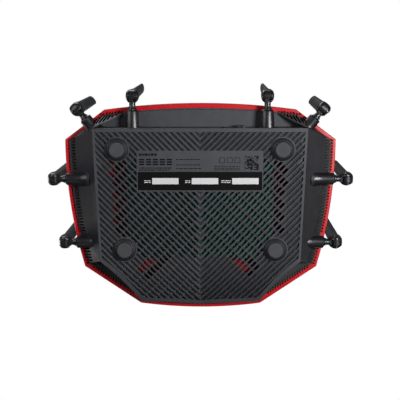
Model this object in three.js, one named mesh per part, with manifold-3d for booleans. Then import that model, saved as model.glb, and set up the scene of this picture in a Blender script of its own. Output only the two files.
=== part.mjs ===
// A wireless router with eight folding antennas, as an assembly of separate pieces.
// Millimetres, +Z up. The origin is on the resting surface, under the middle of the router.
// -Y is the front, +Y the rear with the sockets, and left is -X.

import * as THREE from 'three';
import { ConvexGeometry } from 'three/addons/geometries/ConvexGeometry.js';
import { mergeVertices } from 'three/addons/utils/BufferGeometryUtils.js';
import Module from 'manifold-3d';

const wasm = await Module();
wasm.setup();

// ---------------------------------------------------------------- driving dimensions

const GAP = 0.3; // clearance between pieces that touch
const WALL = 2.2; // wall thickness of the moulded covers
const HIGH = 80; // a height above everything that a cut has to pass

// Plan of the red frame: right half, from the middle of the rear to the middle of the front.
const REAR_Y = 97.4;
const REAR_CORNER = new THREE.Vector2(96.8, 90.8);
const SIDE_REAR = new THREE.Vector2(136.9, 60.5);
const SIDE_FRONT = new THREE.Vector2(118.5, -69.5);
const FRONT_CORNER = new THREE.Vector2(61.1, -107.8);
const FRONT_Y = -111.9;
const SIDE_BOW = 4.7; // how far the side bulges past a straight line

// Plan of the flat underside.
const BASE_REAR = new THREE.Vector2(107.4, 73.7);
const BASE_SIDE = new THREE.Vector2(101.1, -60.8);
const BASE_FRONT = new THREE.Vector2(60.6, -103.8);
const BASE_FRONT_Y = -106.8;
const BASE_Z = 6; // height of the underside above the table
const NOSE_RISE = 11; // how far the underside curves up at the front
const SCOOP_DEPTH = 2.5; // hollow of the scooped front corners in plan

// The seam between the black lower cover and the red frame slopes down to the front.
const SEAM_Z = 25.8;
const SEAM_SLOPE = 0.02;
const SEAT_REAR = 4.8; // how far the red frame stands past the lower cover
const SEAT_CORNER = 3.4; // along the chamfered rear corners
const SEAT_SIDE = 4.6;
const SEAT_FRONT = 3.5;

const FRAME_HEIGHT = 8;
const FRAME_WALL = 7;
const DECK = 2; // thickness of the red deck inside the frame
const CROWN_HEIGHT = 10.2; // the black top cover above the frame

// Port bay, under the overhang at the rear.
const BAY_TOP = 25.5;
const BAY_INNER = new THREE.Vector2(78, 86.6);
const WINDOW_HALF = 59;
const WINDOW_LOW = 9.5;
const WINDOW_HIGH = 25.3;

// Feet.
const FEET = { rear: new THREE.Vector2(82.6, 52.7), front: new THREE.Vector2(75.7, -48.5) };
const COLLAR_RADIUS = 11.5;
const COLLAR_TIP_RADIUS = 8.6;
const COLLAR_LOW = 1.2;
const PAD_RADIUS = 7.65;
const PAD_HEIGHT = 2.6;
const SCREW_HEAD_RADIUS = 2.9;
const SCREW_RADIUS = 1.4;
const SCREW_TOP = 22;
const POST_RADIUS = 3.8;
const POST_LOW = 9.8;
const HEAD_SEAT = 5.4; // top of the bore that takes a screw head
const BOSS = { x: 62, rear: 60, front: -30, radius: 3 }; // rests under the main board

// Rating label, in a shallow seat in the underside.
const LABEL = { half: 61.8, rear: 29.9, front: 11.9, thick: 0.5, seat: 0.8 };

// Main board and what stands on it.
const BOARD_HALF = 74;
const BOARD_REAR = 66.5;
const BOARD_FRONT = -58;
const BOARD_LOW = 10.5;
const BOARD_THICK = 1.6;
const BOARD_TOP = BOARD_LOW + BOARD_THICK;

// Sockets and buttons, by their middle along X.
const JACK = { width: 15.6, height: 13.4, depth: 18, mouth: 11.8, mouthHeight: 8.2, mouthDepth: 13 };
const KEYWAY = { half: 2.6, high: 1.6 }; // for the catch of a plug, above the mouth of a socket
const WAN_X = 47.6;
const LAN_X = 5;
const LAN_COUNT = 4;
const POWER_JACK_X = -53;
const POWER_BUTTON_X = -41;
const RESET_BUTTON_X = -32;
const SOCKET_MID_Z = BOARD_TOP + GAP + JACK.height / 2;

// Antennas.
const ANTENNA_Z = 18.2;
const SHAFT_RADIUS = 3.5;
const SLEEVE_RADIUS = 6.25;
const SHOULDER_RADIUS = 4.4;
const NECK_RADIUS = 3.15;
const TONGUE_RADIUS = 6.3;
const TONGUE_HALF = 3;
const KNUCKLE_RADIUS = 7;
const KNUCKLE_HALF = 6.5;
const PIN_RADIUS = 1.5;
const BLADE_LENGTH = 150; // from the hinge to the tip
const BLADE_TIP_DEPTH = 11.4;
const BLADE_TIP_THICK = 5.4;
const LEAD_RADIUS = 0.9;

// Each antenna on the right: outer end of its sleeve, direction of its stem from +X in degrees,
// length and root radius of the sleeve, distance from the sleeve to the hinge, and where the
// aerial lead meets the board.
const ANTENNAS = {
  rear: { x: 67.6, y: 91.5, turn: 90, sleeve: 24, root: 7.5, reach: 13.4, plug: [66, 36] },
  corner: { x: 115.6, y: 83.2, turn: 49, sleeve: 20, root: SLEEVE_RADIUS, reach: 11.6, plug: [70, 24] },
  side_rear: { x: 135.4, y: 21.6, turn: 0, sleeve: 24, root: SLEEVE_RADIUS, reach: 11.8, plug: [69, 8] },
  side_front: { x: 125.7, y: -42.8, turn: 0, sleeve: 24, root: SLEEVE_RADIUS, reach: 11.4, plug: [66, -36] },
};
const SIDES = { left: -1, right: 1 };

// ---------------------------------------------------------------- materials

const plastic = (color, roughness) => new THREE.MeshStandardMaterial({ color, roughness, metalness: 0 });
const metal = (color, roughness) => new THREE.MeshStandardMaterial({ color, roughness, metalness: 1 });
const BLACK = 0x3a3a3d;
const SATIN_BLACK = 0x232327;

// ---------------------------------------------------------------- solids

// A closed three.js geometry as a solid that can be joined and cut.
function solid(geometry) {
  const bare = new THREE.BufferGeometry();
  bare.setAttribute('position', geometry.attributes.position);
  bare.setIndex(geometry.index);
  const welded = mergeVertices(bare, 1e-4);
  const corners = welded.index.array;
  const kept = [];
  for (let i = 0; i < corners.length; i += 3) {
    const [a, b, c] = [corners[i], corners[i + 1], corners[i + 2]];
    if (a !== b && b !== c && c !== a) kept.push(a, b, c);
  }
  const vertProperties = new Float32Array(welded.attributes.position.array);
  const triVerts = new Uint32Array(kept);
  return new wasm.Manifold(new wasm.Mesh({ numProp: 3, vertProperties, triVerts }));
}

function geometryOf(body) {
  const { vertProperties, triVerts } = body.getMesh();
  const geometry = new THREE.BufferGeometry();
  geometry.setAttribute('position', new THREE.BufferAttribute(vertProperties, 3));
  geometry.setIndex(new THREE.BufferAttribute(triVerts, 1));
  geometry.computeVertexNormals();
  return geometry;
}

const join = (first, ...rest) => rest.reduce((whole, piece) => whole.add(piece), first);
const cut = (first, ...rest) => rest.reduce((whole, piece) => whole.subtract(piece), first);

function box(low, high) {
  const size = high.map((value, i) => value - low[i]);
  const middle = high.map((value, i) => (value + low[i]) / 2);
  return solid(new THREE.BoxGeometry(...size).translate(...middle));
}

// An upright prism over a plan outline.
function prism(outline, low, high) {
  const shape = new THREE.Shape(outline);
  const options = { depth: high - low, bevelEnabled: false };
  return solid(new THREE.ExtrudeGeometry(shape, options).translate(0, 0, low));
}

// An upright cylinder or cone.
function post(x, y, low, high, lowRadius, highRadius = lowRadius, sides = 16) {
  const geometry = new THREE.CylinderGeometry(highRadius, lowRadius, high - low, sides);
  geometry.rotateX(Math.PI / 2);
  return solid(geometry.translate(x, y, (low + high) / 2));
}

// A cylinder or cone along +X, between two places on that axis.
function rodX(from, to, fromRadius, toRadius = fromRadius, sides = 16) {
  const geometry = new THREE.CylinderGeometry(toRadius, fromRadius, to - from, sides);
  geometry.rotateZ(-Math.PI / 2);
  return solid(geometry.translate((from + to) / 2, 0, 0));
}

// A cylinder along Y with its middle at a point.
function rodY(x, y, z, radius, length, sides = 16) {
  const geometry = new THREE.CylinderGeometry(radius, radius, length, sides);
  return solid(geometry.translate(x, y, z));
}

const hull = (points) => solid(new ConvexGeometry(points));
const at = (points, z) => points.map((p) => new THREE.Vector3(p.x, p.y, z));

// ---------------------------------------------------------------- outlines

const seam = (y) => SEAM_Z + SEAM_SLOPE * y;

// The whole outline, anticlockwise, from its right half, listed from the rear to the front.
function mirrored(half) {
  const left = half.filter((p) => p.x > 0).map((p) => new THREE.Vector2(-p.x, p.y));
  return [...half.toReversed(), ...left];
}

// A point of a bowed line between two points, bulging outward by a given height.
function bowed(from, to, bulge, steps) {
  const middle = from.clone().add(to).multiplyScalar(0.5);
  const along = to.clone().sub(from).normalize();
  const control = middle.add(new THREE.Vector2(-along.y, along.x).multiplyScalar(2 * bulge));
  return new THREE.QuadraticBezierCurve(from, control, to).getPoints(steps);
}

function frameHalf() {
  const rear = new THREE.Vector2(0, REAR_Y);
  const front = new THREE.Vector2(0, FRONT_Y);
  const rearLeft = new THREE.Vector2(-REAR_CORNER.x, REAR_CORNER.y);
  const rearEdge = bowed(rearLeft, REAR_CORNER, REAR_Y - REAR_CORNER.y, 8);
  const frontLeft = new THREE.Vector2(-FRONT_CORNER.x, FRONT_CORNER.y);
  const frontEdge = bowed(FRONT_CORNER, frontLeft, FRONT_CORNER.y - FRONT_Y, 6);
  const sideEdge = bowed(SIDE_REAR, SIDE_FRONT, SIDE_BOW, 6);
  return [rear, ...rearEdge.slice(5), ...sideEdge, ...frontEdge.slice(0, 3), front];
}

// A closed outline moved inward, each edge by the distance that goes with its outward normal.
function inset(points, distance) {
  const count = points.length;
  const edges = points.map((p, i) => {
    const along = points[(i + 1) % count].clone().sub(p).normalize();
    const normal = new THREE.Vector2(along.y, -along.x);
    return { normal, offset: normal.dot(p) - distance(normal) };
  });
  return points.map((_, i) => {
    const a = edges[(i + count - 1) % count];
    const b = edges[i];
    const cross = a.normal.cross(b.normal);
    const x = (a.offset * b.normal.y - b.offset * a.normal.y) / cross;
    const y = (b.offset * a.normal.x - a.offset * b.normal.x) / cross;
    return new THREE.Vector2(x, y);
  });
}

const FRAME = mirrored(frameHalf());
const frame = (distance) => inset(FRAME, () => distance);

function seatDistance(normal) {
  if (normal.y > 0.9) return SEAT_REAR;
  if (normal.y > 0.5) return SEAT_CORNER;
  return normal.y < -0.5 ? SEAT_FRONT : SEAT_SIDE;
}
const SEAT = inset(FRAME, seatDistance);

// ---------------------------------------------------------------- lower cover

function noseRise(y) {
  const part = (BASE_SIDE.y - y) / (BASE_SIDE.y - BASE_FRONT.y);
  return NOSE_RISE * Math.max(0, part) ** 2;
}

// The convex envelope of the lower cover, moved inward by a wall thickness.
function coverEnvelope(thickness) {
  const nose = [0, 0.35, 0.7, 1].map((part) => BASE_SIDE.clone().lerp(BASE_FRONT, part));
  const half = [BASE_REAR, ...nose, new THREE.Vector2(0, BASE_FRONT_Y)];
  const base = inset(mirrored(half), () => thickness);
  const low = base.map((p) => new THREE.Vector3(p.x, p.y, BASE_Z + noseRise(p.y) + thickness));
  const front = new THREE.Vector3(0, BASE_FRONT_Y + thickness, BASE_Z + NOSE_RISE + 1 + thickness);
  const rim = inset(SEAT, () => thickness);
  const above = thickness > 0 ? 1 : 0;
  const high = rim.map((p) => new THREE.Vector3(p.x, p.y, seam(p.y) + above));
  return hull([...low, front, ...high]);
}

// The port bay under the rear overhang, opened wider by a wall thickness.
function portBay(thickness) {
  const y = BASE_REAR.y - thickness;
  const half = [
    new THREE.Vector2(BASE_REAR.x + thickness, y),
    new THREE.Vector2(BAY_INNER.x + thickness, BAY_INNER.y),
    new THREE.Vector2(BAY_INNER.x + thickness, REAR_Y + 10),
  ];
  const other = half.map((p) => new THREE.Vector2(-p.x, p.y)).reverse();
  return prism([...half, ...other], -1, BAY_TOP + thickness);
}

// A scooped front corner, opened wider by a wall thickness.
function scoop(side, thickness) {
  const start = BASE_SIDE.clone().add(new THREE.Vector2(-0.4 * thickness, thickness));
  const end = BASE_FRONT.clone().add(new THREE.Vector2(-1.4 * thickness, 0));
  const arc = bowed(start, end, -SCOOP_DEPTH, 8);
  const outside = [
    new THREE.Vector2(BASE_FRONT.x - 1.4 * thickness, FRONT_Y - 5),
    new THREE.Vector2(SIDE_REAR.x, FRONT_Y - 5),
    new THREE.Vector2(SIDE_REAR.x, BASE_SIDE.y - 14.2 + thickness),
  ];
  const outline = [...arc, ...outside].map((p) => new THREE.Vector2(side * p.x, p.y));
  return prism(outline, -1, HIGH);
}

// Brings a solid made along +X with its sleeve end at the origin to its antenna's place.
function onAntenna(body, antenna, side) {
  const turn = side > 0 ? antenna.turn : 180 - antenna.turn;
  return body.rotate([0, 0, turn]).translate([side * antenna.x, antenna.y, ANTENNA_Z]);
}

function everyFoot(make) {
  const feet = [];
  for (const side of Object.values(SIDES)) {
    for (const foot of Object.values(FEET)) feet.push(make(side * foot.x, foot.y));
  }
  return feet;
}

function everyAntenna(make) {
  const made = [];
  for (const side of Object.values(SIDES)) {
    for (const antenna of Object.values(ANTENNAS)) made.push(onAntenna(make(antenna), antenna, side));
  }
  return made;
}

function lowerCover() {
  const sides = Object.values(SIDES);
  const outside = cut(coverEnvelope(0), portBay(0), ...sides.map((side) => scoop(side, 0)));
  const inside = cut(coverEnvelope(WALL), portBay(WALL), ...sides.map((side) => scoop(side, WALL)));
  const sleeves = everyAntenna((a) => rodX(-a.sleeve, 0, a.root, SLEEVE_RADIUS, 20));
  const collar = [COLLAR_LOW, BASE_Z + 0.2, COLLAR_TIP_RADIUS, COLLAR_RADIUS, 28];
  const collars = everyFoot((x, y) => post(x, y, ...collar));
  const bosses = [-1, 1].flatMap((side) => [
    post(side * BOSS.x, BOSS.rear, BASE_Z + 1, BOARD_LOW - GAP, BOSS.radius),
    post(side * BOSS.x, BOSS.front, BASE_Z + 1, BOARD_LOW - GAP, BOSS.radius),
  ]);
  const body = join(cut(outside, inside), ...sleeves, ...collars, ...bosses);
  const bores = everyAntenna((a) => rodX(-a.sleeve - 1, 1, SHAFT_RADIUS + GAP));
  const padSeat = COLLAR_LOW - 1;
  const seatRadius = PAD_RADIUS + GAP;
  const seats = everyFoot((x, y) => post(x, y, padSeat, PAD_HEIGHT + GAP, seatRadius, seatRadius, 28));
  const heads = everyFoot((x, y) => post(x, y, PAD_HEIGHT, HEAD_SEAT, SCREW_HEAD_RADIUS + GAP));
  const holes = everyFoot((x, y) => post(x, y, HEAD_SEAT - 0.4, POST_LOW + GAP, SCREW_RADIUS + GAP + 0.1));
  const y = BASE_REAR.y;
  const window = box([-WINDOW_HALF, y - 2 * WALL, WINDOW_LOW], [WINDOW_HALF, y + WALL, WINDOW_HIGH]);
  const x = LABEL.half + GAP;
  const label = box([-x, LABEL.front - GAP, 0], [x, LABEL.rear + GAP, BASE_Z + LABEL.seat]);
  return cut(body, ...bores, ...seats, ...heads, ...holes, window, label);
}

// ---------------------------------------------------------------- frame and top cover

// The frame and top cover are made on a level seam and then tipped to the sloping one.
function tipped(body) {
  const slope = new THREE.Matrix4().set(1, 0, 0, 0, 0, 1, 0, 0, 0, SEAM_SLOPE, 1, 0, 0, 0, 0, 1);
  return geometryOf(body).applyMatrix4(slope);
}

function midFrame() {
  const low = SEAM_Z + GAP;
  const high = low + FRAME_HEIGHT;
  const outside = hull([...at(frame(1.2), low), ...at(FRAME, low + 2), ...at(frame(2.4), high)]);
  const pocket = prism(frame(FRAME_WALL), low + DECK, HIGH);
  const window = box([-52, -44, 0], [52, 46, HIGH]);
  const holes = everyFoot((x, y) => post(x, y, 0, HIGH, POST_RADIUS + 0.6));
  return tipped(cut(outside, pocket, window, ...holes));
}

const PLATEAU = mirrored([
  new THREE.Vector2(0, 66),
  new THREE.Vector2(62, 62),
  new THREE.Vector2(92, 34),
  new THREE.Vector2(70, -50),
  new THREE.Vector2(34, -80),
  new THREE.Vector2(0, -84),
]);
const PANEL = mirrored([
  new THREE.Vector2(0, 50),
  new THREE.Vector2(28, 48),
  new THREE.Vector2(42, 12),
  new THREE.Vector2(22, -48),
  new THREE.Vector2(0, -52),
]);
const PANEL_THICK = 1.6;
const LIGHT = { half: 22, rear: -62, front: -66, thick: 1.6 };
const COVER_LOW = SEAM_Z + GAP + FRAME_HEIGHT + GAP;
const CROWN_Z = COVER_LOW + CROWN_HEIGHT;
const VENTS = { count: 7, pitch: 6, width: 2.4, inner: 48, outer: 70, rear: 44 };

function topCover() {
  const edge = COVER_LOW + 2.4;
  const outside = hull([...at(frame(2.8), COVER_LOW), ...at(frame(4.2), edge), ...at(PLATEAU, CROWN_Z)]);
  const skirtOut = FRAME_WALL + GAP;
  const skirt = prism(frame(skirtOut), SEAM_Z + GAP + DECK + GAP, edge);
  const innerPlateau = inset(PLATEAU, () => 1.5);
  const skirtIn = frame(skirtOut + WALL);
  const inside = hull([...at(skirtIn, SEAM_Z), ...at(skirtIn, COVER_LOW), ...at(innerPlateau, CROWN_Z - WALL)]);
  const posts = everyFoot((x, y) => post(x, y, POST_LOW, CROWN_Z - 1, POST_RADIUS));
  const pilots = everyFoot((x, y) => post(x, y, POST_LOW - 1, SCREW_TOP + 2, SCREW_RADIUS + GAP + 0.1));
  const seat = (outline, thick) => prism(outline, CROWN_Z + GAP - thick - GAP, HIGH);
  const panelSeat = seat(inset(PANEL, () => -GAP), PANEL_THICK);
  const x = LIGHT.half + GAP;
  const lightSeat = box([-x, LIGHT.front - GAP, CROWN_Z - LIGHT.thick - GAP], [x, LIGHT.rear + GAP, HIGH]);
  const vents = [];
  for (const side of Object.values(SIDES)) {
    for (let i = 0; i < VENTS.count; i += 1) {
      const y = VENTS.rear - i * VENTS.pitch;
      const ends = [side * VENTS.inner, side * VENTS.outer].sort((a, b) => a - b);
      vents.push(box([ends[0], y, CROWN_Z - 8], [ends[1], y + VENTS.width, HIGH]));
    }
  }
  const shell = cut(join(outside, skirt), inside);
  return tipped(cut(join(shell, ...posts), ...pilots, panelSeat, lightSeat, ...vents));
}

const topPanel = () => tipped(prism(PANEL, CROWN_Z + GAP - PANEL_THICK, CROWN_Z + GAP));

function lightBar() {
  const high = CROWN_Z + GAP;
  return tipped(box([-LIGHT.half, LIGHT.front, high - LIGHT.thick], [LIGHT.half, LIGHT.rear, high]));
}

// ---------------------------------------------------------------- rear panel, sockets and buttons

const LAN_WIDTH = LAN_COUNT * JACK.width;
const PANEL_REAR = BASE_REAR.y - GAP;
const PANEL_FRONT = PANEL_REAR - WALL - 1.6;
const POWER_JACK = { width: 9, height: 11, depth: 13, bore: 3.2, boreDepth: 9, pin: 1, opening: 7.4 };
const POWER_CAP = { width: 8, height: 6, depth: 6.5, proud: 2.2, travel: 1.5 };
const RESET_CAP = { radius: 1.3, depth: 7, sunk: 0.6, travel: 0.8 };
const BUTTON_Z = 18;

function panelHole(x, width, height, z) {
  return box([x - width / 2, PANEL_FRONT - 1, z - height / 2], [x + width / 2, PANEL_REAR + 1, z + height / 2]);
}

function portPanel() {
  const x = WINDOW_HALF - GAP;
  const plate = box([-x, PANEL_FRONT, WINDOW_LOW + GAP], [x, PANEL_REAR, WINDOW_HIGH - GAP]);
  const mouth = JACK.mouthHeight + 2;
  return geometryOf(cut(
    plate,
    panelHole(WAN_X, JACK.mouth + 1, mouth, SOCKET_MID_Z),
    panelHole(LAN_X, LAN_WIDTH - JACK.width + JACK.mouth + 1, mouth, SOCKET_MID_Z),
    panelHole(POWER_JACK_X, POWER_JACK.opening, POWER_JACK.opening, BUTTON_Z),
    panelHole(POWER_BUTTON_X, POWER_CAP.width + 2 * GAP, POWER_CAP.height + 2 * GAP, BUTTON_Z),
    rodY(RESET_BUTTON_X, (PANEL_FRONT + PANEL_REAR) / 2, BUTTON_Z, RESET_CAP.radius + GAP, 12),
  ));
}

// A row of network sockets in one shell, their mouths facing the rear.
function jackBlock(x, count) {
  const rear = PANEL_FRONT - GAP;
  const low = BOARD_TOP + GAP;
  const side = (count * JACK.width) / 2;
  const shell = box([x - side, rear - JACK.depth, low], [x + side, rear, low + JACK.height]);
  const [back, open] = [rear - JACK.mouthDepth, rear + 1];
  const [floor, roof] = [SOCKET_MID_Z - JACK.mouthHeight / 2, SOCKET_MID_Z + JACK.mouthHeight / 2];
  const mouths = [];
  for (let i = 0; i < count; i += 1) {
    const middle = x + (i - (count - 1) / 2) * JACK.width;
    const half = JACK.mouth / 2;
    const key = KEYWAY.half;
    mouths.push(box([middle - half, back, floor], [middle + half, open, roof]));
    mouths.push(box([middle - key, back, SOCKET_MID_Z], [middle + key, open, roof + KEYWAY.high]));
  }
  return geometryOf(cut(shell, ...mouths));
}

function powerJack() {
  const rear = PANEL_FRONT - GAP;
  const { width, height, depth, bore, boreDepth, pin } = POWER_JACK;
  const low = BOARD_TOP + GAP;
  const x = POWER_JACK_X;
  const shell = box([x - width / 2, rear - depth, low], [x + width / 2, rear, low + height]);
  const hole = rodY(x, rear - boreDepth / 2 + 1, BUTTON_Z, bore, boreDepth + 2);
  const contact = rodY(x, rear - boreDepth / 2 - 1, BUTTON_Z, pin, boreDepth, 12);
  return geometryOf(join(cut(shell, hole), contact));
}

// The latching switch behind the power button and the key switch behind the reset button.
function boardSwitch(x, width, rear) {
  const depth = 8;
  return geometryOf(box([x - width / 2, rear - depth, BOARD_TOP + GAP], [x + width / 2, rear, BUTTON_Z + 3]));
}

function powerButton() {
  const { width, height, depth, proud } = POWER_CAP;
  const shape = new THREE.Shape();
  const [x, z] = [width / 2, height / 2];
  shape.moveTo(-x + 1, -z).lineTo(x - 1, -z).quadraticCurveTo(x, -z, x, -z + 1);
  shape.lineTo(x, z - 1).quadraticCurveTo(x, z, x - 1, z).lineTo(-x + 1, z);
  shape.quadraticCurveTo(-x, z, -x, z - 1).lineTo(-x, -z + 1).quadraticCurveTo(-x, -z, -x + 1, -z);
  const bevel = { bevelThickness: 0.4, bevelSize: 0.4, bevelOffset: -0.4, bevelSegments: 2 };
  const options = { depth: depth - 0.8, curveSegments: 4, ...bevel };
  const geometry = new THREE.ExtrudeGeometry(shape, options).translate(0, 0, 0.4).rotateX(-Math.PI / 2);
  return geometryOf(solid(geometry.translate(POWER_BUTTON_X, PANEL_REAR + proud - depth, BUTTON_Z)));
}

function resetButton() {
  const { radius, depth, sunk } = RESET_CAP;
  return geometryOf(rodY(RESET_BUTTON_X, PANEL_REAR - sunk - depth / 2, BUTTON_Z, radius, depth));
}

// ---------------------------------------------------------------- main board

function mainBoard() {
  const board = box([-BOARD_HALF, BOARD_FRONT, BOARD_LOW], [BOARD_HALF, BOARD_REAR, BOARD_TOP]);
  return geometryOf(cut(board, ...everyFoot((x, y) => post(x, y, 0, HIGH, POST_RADIUS + 1))));
}

const SINK = { x: 0, y: 4, half: 27, base: 3, high: 22.5, fins: 9, fin: 1.4 };

function heatSink() {
  const { x, y, half, base, high, fins, fin } = SINK;
  const low = BOARD_TOP + GAP;
  const blades = [];
  for (let i = 0; i < fins; i += 1) {
    const middle = x - half + fin / 2 + (i * (2 * half - fin)) / (fins - 1);
    blades.push(box([middle - fin / 2, y - half, low + 1], [middle + fin / 2, y + half, high]));
  }
  return geometryOf(join(box([x - half, y - half, low], [x + half, y + half, low + base]), ...blades));
}

// A stamped shield can, open towards the board.
function shieldCan(x) {
  const [half, y, low, high, sheet] = [15, -12, BOARD_TOP + GAP, BOARD_TOP + 5, 0.6];
  const shell = box([x - half, y - half, low], [x + half, y + half, high]);
  const inner = half - sheet;
  const hollow = box([x - inner, y - inner, low - 1], [x + inner, y + inner, high - sheet]);
  return geometryOf(cut(shell, hollow));
}

// ---------------------------------------------------------------- small parts of the case

const footPad = () => geometryOf(solid(new THREE.LatheGeometry([
  new THREE.Vector2(0, 0),
  new THREE.Vector2(PAD_RADIUS - 0.6, 0),
  new THREE.Vector2(PAD_RADIUS, 0.6),
  new THREE.Vector2(PAD_RADIUS, PAD_HEIGHT),
  new THREE.Vector2(0, PAD_HEIGHT),
], 28).rotateX(Math.PI / 2)));

function caseScrew() {
  const low = PAD_HEIGHT + 2 * GAP;
  const head = post(0, 0, low, low + 1.8, SCREW_HEAD_RADIUS);
  const slot = box([-SCREW_HEAD_RADIUS - 1, -0.4, 0], [SCREW_HEAD_RADIUS + 1, 0.4, low + 0.8]);
  return geometryOf(join(cut(head, slot), post(0, 0, low + 1.5, SCREW_TOP, SCREW_RADIUS)));
}

function ratingLabel() {
  const high = BASE_Z + LABEL.seat - GAP;
  return geometryOf(box([-LABEL.half, LABEL.front, high - LABEL.thick], [LABEL.half, LABEL.rear, high]));
}

// ---------------------------------------------------------------- antennas
// Made with the outer end of the sleeve at the origin, the stem along +X, the hinge along Y.

const SHOULDER_END = 2.3;
const FLANGE = { radius: 4.4, thick: 1.4 };

function stem({ sleeve, reach }) {
  const neckEnd = reach - KNUCKLE_RADIUS - 0.4;
  const flangeEnd = -sleeve - GAP;
  const taper = new THREE.Shape([
    new THREE.Vector2(neckEnd - 0.6, -NECK_RADIUS),
    new THREE.Vector2(reach, -TONGUE_RADIUS),
    new THREE.Vector2(reach, TONGUE_RADIUS),
    new THREE.Vector2(neckEnd - 0.6, NECK_RADIUS),
  ]);
  const tongue = new THREE.ExtrudeGeometry(taper, { depth: 2 * TONGUE_HALF, bevelEnabled: false });
  tongue.translate(0, 0, -TONGUE_HALF).rotateX(Math.PI / 2);
  const body = join(
    rodX(flangeEnd - FLANGE.thick, flangeEnd, FLANGE.radius),
    rodX(flangeEnd - 0.5, GAP + 0.5, SHAFT_RADIUS),
    rodX(GAP, SHOULDER_END, SHOULDER_RADIUS),
    rodX(SHOULDER_END - 0.5, neckEnd, NECK_RADIUS),
    solid(tongue),
    rodY(reach, 0, 0, TONGUE_RADIUS, 2 * TONGUE_HALF, 24),
  );
  return geometryOf(cut(body, rodY(reach, 0, 0, PIN_RADIUS + GAP, KNUCKLE_HALF, 12)));
}

const PIN_LENGTH = 2 * KNUCKLE_HALF - 0.6;
const hingePin = ({ reach }) => geometryOf(rodY(reach, 0, 0, PIN_RADIUS, PIN_LENGTH, 12));

const BLADE = { straight: 9, waist: 18, waistHalf: 4.6, round: 2.4 }; // heights above the hinge
const WIDE = 20; // past a blade on every side

// The blade with its hinge at the origin, standing up along +Z.
function blade({ reach }) {
  const top = BLADE_LENGTH;
  const { straight, waist, waistHalf, round } = BLADE;
  const side = new THREE.Shape();
  const [low, tip] = [KNUCKLE_RADIUS, BLADE_TIP_DEPTH / 2];
  side.moveTo(low, 0).lineTo(low, straight).lineTo(tip, top - round);
  side.quadraticCurveTo(tip, top, tip - round, top).lineTo(round - tip, top);
  side.quadraticCurveTo(-tip, top, -tip, top - round).lineTo(-low, straight).lineTo(-low, 0);
  side.absarc(0, 0, low, Math.PI, 2 * Math.PI, false);
  const options = { depth: WIDE, bevelEnabled: false, curveSegments: 8 };
  const sideSolid = new THREE.ExtrudeGeometry(side, options).translate(0, 0, -WIDE / 2);
  const [wide, thin] = [KNUCKLE_HALF, BLADE_TIP_THICK / 2];
  const face = new THREE.Shape();
  face.moveTo(-wide, -WIDE).lineTo(wide, -WIDE).lineTo(wide, straight).lineTo(waistHalf, waist);
  face.lineTo(thin, top + 1).lineTo(-thin, top + 1).lineTo(-waistHalf, waist).lineTo(-wide, straight);
  const faceSolid = new THREE.ExtrudeGeometry(face, options).translate(0, 0, -WIDE / 2);
  const body = solid(sideSolid.rotateX(Math.PI / 2))
    .intersect(solid(faceSolid.rotateX(Math.PI / 2).rotateZ(Math.PI / 2)));
  const slot = TONGUE_HALF + GAP;
  const clear = KNUCKLE_RADIUS + 0.1; // the fork is open on the outer side too
  return geometryOf(cut(
    body,
    box([-WIDE, -slot, -WIDE], [0, slot, clear]),
    box([-WIDE, -slot, -WIDE], [WIDE, slot, 0]),
    rodY(0, 0, 0, clear, 2 * slot, 24),
    rodY(0, 0, 0, PIN_RADIUS + GAP, WIDE, 12),
  ).translate([reach, 0, 0]));
}

// An aerial lead inside the case, from the board to the inner end of a stem.
function aerialLead(antenna, side) {
  const turn = THREE.MathUtils.degToRad(side > 0 ? antenna.turn : 180 - antenna.turn);
  const out = new THREE.Vector3(Math.cos(turn), Math.sin(turn), 0);
  const mouth = new THREE.Vector3(side * antenna.x, antenna.y, ANTENNA_Z);
  const inner = mouth.clone().addScaledVector(out, -antenna.sleeve - 2 * GAP - FLANGE.thick);
  const near = inner.clone().addScaledVector(out, -6);
  const plug = new THREE.Vector3(side * antenna.plug[0], antenna.plug[1], BOARD_TOP + GAP);
  const above = plug.clone().setZ(BOARD_TOP + 3);
  const curve = new THREE.CatmullRomCurve3([inner, near, above, plug]);
  const section = new THREE.Shape().absarc(0, 0, LEAD_RADIUS, 0, 2 * Math.PI);
  const options = { extrudePath: curve, steps: 12, curveSegments: 3, bevelEnabled: false };
  return geometryOf(solid(new THREE.ExtrudeGeometry(section, options)));
}

// ---------------------------------------------------------------- assembly

const router = new THREE.Group();

function add(name, geometry, material, position = [0, 0, 0], turn = 0) {
  const mesh = new THREE.Mesh(geometry, material);
  mesh.name = name;
  mesh.position.set(...position);
  mesh.rotation.z = THREE.MathUtils.degToRad(turn);
  router.add(mesh);
}

add('bottom_cover', geometryOf(lowerCover()), plastic(BLACK, 0.5));
add('mid_frame', midFrame(), plastic(0xc0051f, 0.35));
add('top_cover', topCover(), plastic(SATIN_BLACK, 0.5));
add('top_panel', topPanel(), plastic(0x0d0d10, 0.15));
add('light_bar', lightBar(), plastic(0xd8dde0, 0.2));
add('port_panel', portPanel(), plastic(0x1c1c1f, 0.45));
add('rating_label', ratingLabel(), plastic(0x131315, 0.4));
add('main_board', mainBoard(), plastic(0x0b4a33, 0.5));
add('heat_sink', heatSink(), metal(0xa9adb2, 0.4));
add('shield_can_left', shieldCan(-48), metal(0xb9bcc0, 0.35));
add('shield_can_right', shieldCan(48), metal(0xb9bcc0, 0.35));
add('wan_jack', jackBlock(WAN_X, 1), plastic(0x2456a8, 0.4));
add('lan_jack_block', jackBlock(LAN_X, LAN_COUNT), plastic(0xd99a1c, 0.4));
add('power_jack', powerJack(), plastic(0x17171a, 0.4));
add('power_button', powerButton(), plastic(0x202024, 0.4));
add('reset_button', resetButton(), plastic(0x303034, 0.5));
const switchClear = 0.5;
const powerBack = PANEL_REAR + POWER_CAP.proud - POWER_CAP.depth - POWER_CAP.travel - switchClear;
const resetBack = PANEL_REAR - RESET_CAP.sunk - RESET_CAP.depth - RESET_CAP.travel - switchClear;
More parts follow.
